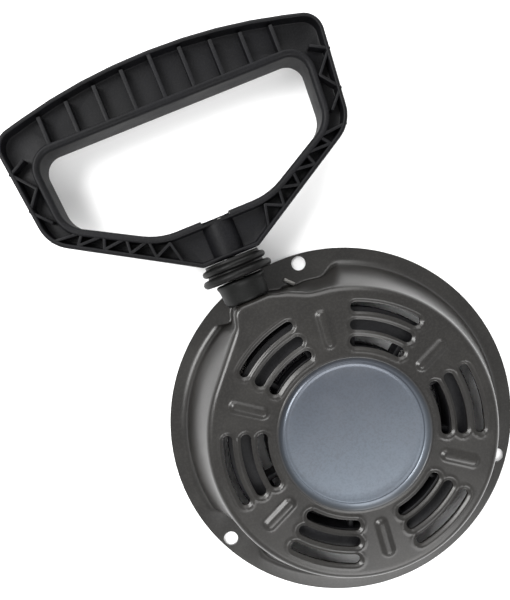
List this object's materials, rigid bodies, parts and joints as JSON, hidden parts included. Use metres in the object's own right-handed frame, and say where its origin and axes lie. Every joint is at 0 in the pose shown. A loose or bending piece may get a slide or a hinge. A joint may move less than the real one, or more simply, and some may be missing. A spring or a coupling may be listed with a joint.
{
  "type": "recoil starter",
  "caption": "Pull-rope recoil starter for a small engine: flanged pressed steel cover with slotted face, sprung rope reel with pawls, side rope outlet and wide D-shaped handle.",
  "frame": {"origin": "centre of the flange's underside, on the reel's axis, 0.4 mm under the centre bolt's head", "axes": "+Z along the reel's axis out of the cover's face, away from the engine; +Y from the axis to the bolt hole nearest the rope's outlet; +X completes the right-handed frame"},
  "size_m": [0.1947, 0.2671, 0.0332],
  "materials": {
    "cover_paint": "semi-gloss dark paint on pressed sheet steel",
    "guide_plastic": "moulded nylon, satin",
    "clip_steel": "spring steel",
    "post_steel": "turned steel",
    "bolt_steel": "zinc plated",
    "washer_steel": "zinc plated",
    "sleeve_steel": "turned steel",
    "friction_steel": "spring steel",
    "rope": "braided polyester",
    "reel_nylon": "moulded nylon",
    "bush_bronze": "sintered bronze",
    "spring_cover_steel": "thin sheet steel",
    "spring_steel": "blued spring steel",
    "pin_steel": "ground steel",
    "pawl_steel": "sintered steel",
    "plate_steel": "zinc plated sheet",
    "handle_plastic": "grained moulded plastic",
    "bumper_rubber": "moulded rubber"
  },
  "bodies": {
    "housing": {"starter_case": "cover_paint", "rope_guide": "guide_plastic", "guide_clip": "clip_steel", "centre_post": "post_steel", "centre_bolt": "bolt_steel", "thrust_washer": "washer_steel", "guide_sleeve": "sleeve_steel", "friction_spring": "friction_steel", "rope_lead": "rope"},
    "handle": {"handle": "handle_plastic", "rope_bumper": "bumper_rubber", "rope_stub": "rope", "knot_washer": "washer_steel", "rope_knot_handle": "rope"},
    "reel": {"reel": "reel_nylon", "hub_bush": "bush_bronze", "spring_cover": "spring_cover_steel", "recoil_spring": "spring_steel", "rope_coil": "rope", "rope_knot_reel": "rope", "pawl_pin_a": "pin_steel", "pawl_pin_b": "pin_steel", "pawl_spring_a": "friction_steel", "pawl_spring_b": "friction_steel"},
    "ratchet": {"ratchet_guide": "plate_steel"},
    "pawl_a": {"pawl_a": "pawl_steel"},
    "pawl_b": {"pawl_b": "pawl_steel"}
  },
  "joints": [
    {"name": "handle_pull", "type": "slide", "parent": "housing", "child": "handle", "axis": [-0.1056, 0.9944, 0], "range_m": [0, 0.85], "stiffness_N_per_m": 45, "springref_m": -0.15},
    {"name": "reel_spin", "type": "hinge", "parent": "housing", "child": "reel", "pos_m": [0, 0, 0], "axis": [0, 0, -1], "range_deg": [0, 960], "deforming": ["recoil_spring", "rope_coil"]},
    {"name": "guide_turn", "type": "hinge", "parent": "reel", "child": "ratchet", "pos_m": [0, 0, 0], "axis": [0, 0, 1], "range_deg": [0, 30]},
    {"name": "pawl_a_swing", "type": "hinge", "parent": "reel", "child": "pawl_a", "pos_m": [0.023, 0, 0], "axis": [0, 0, 1], "range_deg": [0, 28.5]},
    {"name": "pawl_b_swing", "type": "hinge", "parent": "reel", "child": "pawl_b", "pos_m": [-0.023, 0, 0], "axis": [0, 0, 1], "range_deg": [0, 28.5]}
  ],
  "couplings": [
    {"joint": "reel_spin", "follows": "handle_pull", "rad_per_m": 19.6},
    {"joint": "pawl_a_swing", "follows": "guide_turn", "ratio": 0.93333},
    {"joint": "pawl_b_swing", "follows": "guide_turn", "ratio": 0.93333}
  ]
}
